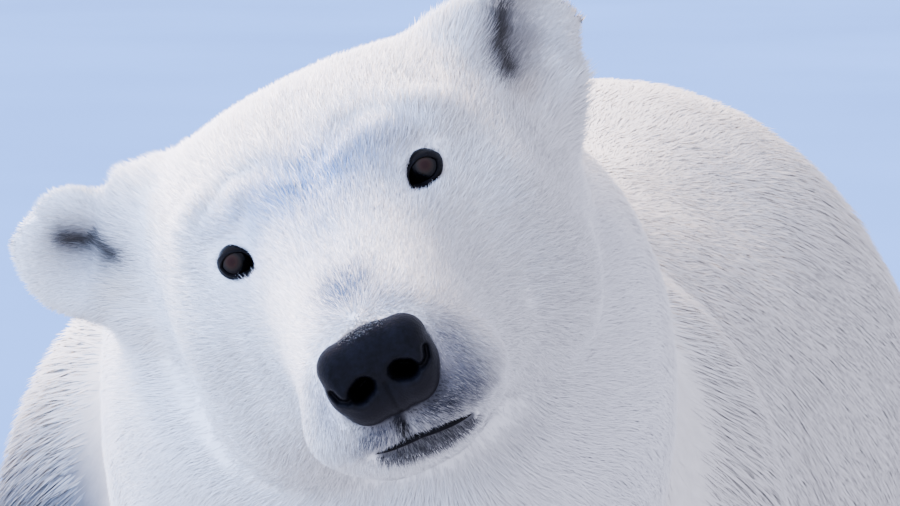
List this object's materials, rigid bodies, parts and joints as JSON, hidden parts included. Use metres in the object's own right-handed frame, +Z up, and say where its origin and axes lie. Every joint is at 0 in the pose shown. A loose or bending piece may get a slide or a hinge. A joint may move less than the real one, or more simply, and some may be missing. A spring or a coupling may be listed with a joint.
{
  "type": "polar bear figure",
  "caption": "Life-size polar bear standing on four feet, head cocked towards an onlooker, as a still museum model.",
  "frame": {"origin": "on the floor, under the middle of the whole bear's bounding box", "axes": "+Z up, the bear faces -Y, its left side is +X, its feet rest on Z = 0"},
  "size_m": [0.6964, 2.375, 1.3587],
  "materials": {
    "coat": "matte, creamy white fur",
    "eye": "glossy, dark brown",
    "nose": "satin, blue-black skin",
    "claw": "satin, black horn"
  },
  "bodies": {
    "root": {"trunk": "coat", "neck": "coat", "head": "coat", "lower_jaw": "coat", "left_ear": "coat", "right_ear": "coat", "left_eye": "eye", "right_eye": "eye", "nose": "nose", "tail": "coat", "left_fore_upper_leg": "coat", "left_fore_lower_leg": "coat", "left_fore_paw": "coat", "left_fore_claw_1": "claw", "left_fore_claw_2": "claw", "left_fore_claw_3": "claw", "left_fore_claw_4": "claw", "left_fore_claw_5": "claw", "left_hind_upper_leg": "coat", "left_hind_lower_leg": "coat", "left_hind_paw": "coat", "left_hind_claw_1": "claw", "left_hind_claw_2": "claw", "left_hind_claw_3": "claw", "left_hind_claw_4": "claw", "left_hind_claw_5": "claw", "right_fore_upper_leg": "coat", "right_fore_lower_leg": "coat", "right_fore_paw": "coat", "right_fore_claw_1": "claw", "right_fore_claw_2": "claw", "right_fore_claw_3": "claw", "right_fore_claw_4": "claw", "right_fore_claw_5": "claw", "right_hind_upper_leg": "coat", "right_hind_lower_leg": "coat", "right_hind_paw": "coat", "right_hind_claw_1": "claw", "right_hind_claw_2": "claw", "right_hind_claw_3": "claw", "right_hind_claw_4": "claw", "right_hind_claw_5": "claw"}
  },
  "joints": []
}
